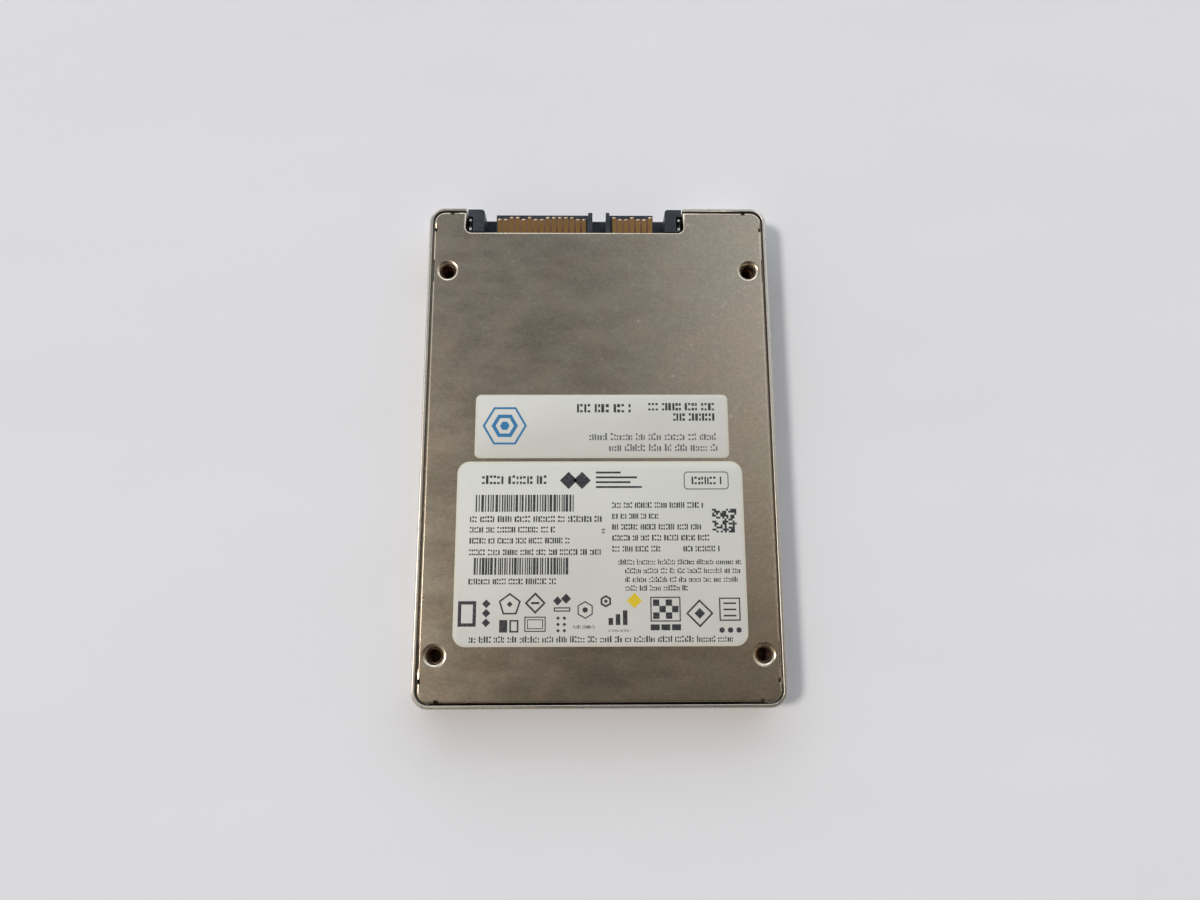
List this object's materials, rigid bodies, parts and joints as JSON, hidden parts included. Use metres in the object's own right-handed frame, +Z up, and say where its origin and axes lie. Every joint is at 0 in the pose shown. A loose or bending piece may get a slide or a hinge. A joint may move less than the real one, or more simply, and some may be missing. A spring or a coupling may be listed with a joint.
{
  "type": "solid state drive",
  "caption": "Slim 2.5 inch drive in a two-part stamped metal case, with labelled cover, edge plug, board, memory chips, thermal pads and threaded corner blocks.",
  "frame": {"origin": "centre of the face the drive rests on, at z = 0, in the middle of its length and width", "axes": "+X to the right seen from the labelled side, +Y towards the edge plug, +Z up out of the labelled face"},
  "size_m": [0.0698, 0.1002, 0.007],
  "materials": {
    "shell_metal": "plated sheet metal, satin, worn on the edges",
    "cover_metal": "plated sheet metal, satin with a faint grain",
    "label_paper": "matt white printed label",
    "block_metal": "plated steel block, threaded",
    "plug_plastic": "blue-black glass-filled plastic",
    "clip_metal": "bright tinned spring steel",
    "contact_gold": "gold-plated contact",
    "board_green": "green solder mask over glass epoxy",
    "screw_steel": "zinc-plated steel",
    "film_plastic": "black insulating film",
    "epoxy": "black moulded epoxy",
    "ferrite": "pressed ferrite",
    "crystal_can": "welded metal can",
    "capacitor_resin": "moulded resin body",
    "thermal_pad": "soft grey-blue silicone pad"
  },
  "bodies": {
    "base": {"base_shell": "shell_metal", "board_screw_1": "screw_steel", "board_screw_2": "screw_steel", "board_screw_3": "screw_steel", "board_screw_4": "screw_steel", "bulk_capacitor_1": "capacitor_resin", "bulk_capacitor_2": "capacitor_resin", "bulk_capacitor_3": "capacitor_resin", "circuit_board": "board_green", "contact_power_01": "contact_gold", "contact_power_02": "contact_gold", "contact_power_03": "contact_gold", "contact_power_04": "contact_gold", "contact_power_05": "contact_gold", "contact_power_06": "contact_gold", "contact_power_07": "contact_gold", "contact_power_08": "contact_gold", "contact_power_09": "contact_gold", "contact_power_10": "contact_gold", "contact_power_11": "contact_gold", "contact_power_12": "contact_gold", "contact_power_13": "contact_gold", "contact_power_14": "contact_gold", "contact_power_15": "contact_gold", "contact_signal_1": "contact_gold", "contact_signal_2": "contact_gold", "contact_signal_3": "contact_gold", "contact_signal_4": "contact_gold", "contact_signal_5": "contact_gold", "contact_signal_6": "contact_gold", "contact_signal_7": "contact_gold", "controller_chip": "epoxy", "crystal": "crystal_can", "dram_chip": "epoxy", "ear_clip_left": "clip_metal", "ear_clip_right": "clip_metal", "insulating_film": "film_plastic", "mount_block_front_left": "block_metal", "mount_block_front_right": "block_metal", "mount_block_rear_left": "block_metal", "mount_block_rear_right": "block_metal", "nand_chip_1": "epoxy", "nand_chip_2": "epoxy", "nand_chip_3": "epoxy", "nand_chip_4": "epoxy", "plug_housing": "plug_plastic", "power_chip": "epoxy", "power_inductor_1": "ferrite", "power_inductor_2": "ferrite", "thermal_pad_controller": "thermal_pad", "thermal_pad_nand_left": "thermal_pad", "thermal_pad_nand_right": "thermal_pad"},
    "cover": {"cover_plate": "cover_metal", "label_large": "label_paper", "label_small": "label_paper"}
  },
  "joints": [
    {"name": "cover_lift", "type": "slide", "parent": "base", "child": "cover", "axis": [0, 0, 1], "range_m": [0, 0.015]}
  ]
}
